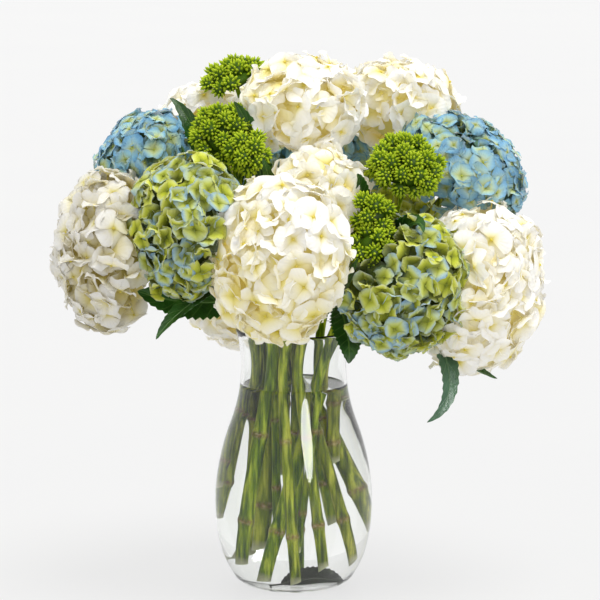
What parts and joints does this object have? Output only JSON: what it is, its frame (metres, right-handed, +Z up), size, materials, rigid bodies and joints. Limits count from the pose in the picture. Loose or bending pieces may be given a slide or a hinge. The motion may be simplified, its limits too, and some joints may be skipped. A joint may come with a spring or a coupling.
{
  "type": "hydrangeas in a vase",
  "caption": "Cut hydrangea mopheads in white, blue and green with sprays of green buds and a few leaves, standing in a clear glass vase of water.",
  "frame": {"origin": "centre of the underside of the vase's foot, on the surface that it stands on", "axes": "+Z up, -Y towards the front of the bouquet, +X to its right as seen from the front"},
  "size_m": [0.4623, 0.3675, 0.5056],
  "materials": {
    "glass": "clear, smooth and shiny",
    "water": "clear still water",
    "white_petals": "soft matt petals, near white with cream hollows",
    "blue_petals": "soft matt petals, sky blue with green eyes",
    "green_petals": "soft matt petals, yellow-green with pale blue edges",
    "buds": "tight matt yellow-green buds",
    "stems": "satin green stems with brown joints",
    "leaves": "satin dark green leaves",
    "grey_leaf": "matt grey-green leaf"
  },
  "bodies": {
    "root": {"bloom_blue_back": "blue_petals", "bloom_blue_left": "blue_petals", "bloom_blue_right": "blue_petals", "bloom_green_back": "green_petals", "bloom_green_left": "green_petals", "bloom_green_right": "green_petals", "bloom_white_back": "white_petals", "bloom_white_crown": "white_petals", "bloom_white_front": "white_petals", "bloom_white_left": "white_petals", "bloom_white_mid": "white_petals", "bloom_white_rear": "white_petals", "bloom_white_right": "white_petals", "bloom_white_rise": "white_petals", "buds_centre": "buds", "buds_centre_top": "buds", "buds_crown": "buds", "buds_inner": "buds", "buds_left": "buds", "buds_rear_high": "buds", "buds_rear_low": "buds", "buds_right": "buds", "leaf_back_left": "leaves", "leaf_back_mid": "leaves", "leaf_back_right": "leaves", "leaf_bud_left": "leaves", "leaf_crown_left": "leaves", "leaf_crown_upright": "leaves", "leaf_front_low": "leaves", "leaf_front_slim": "leaves", "leaf_inner_upright": "leaves", "leaf_left_broad": "leaves", "leaf_left_hanging": "leaves", "leaf_right_hanging": "grey_leaf", "leaf_right_inner": "leaves", "leaf_right_top": "leaves", "leaf_right_under": "leaves", "spray_back": "stems", "spray_left": "stems", "spray_right": "stems", "stem_blue_back": "stems", "stem_blue_left": "stems", "stem_blue_right": "stems", "stem_green_back": "stems", "stem_green_left": "stems", "stem_green_right": "stems", "stem_white_back": "stems", "stem_white_crown": "stems", "stem_white_front": "stems", "stem_white_left": "stems", "stem_white_mid": "stems", "stem_white_rear": "stems", "stem_white_right": "stems", "stem_white_rise": "stems", "sunken_leaf": "leaves", "vase": "glass", "water": "water"}
  },
  "joints": []
}
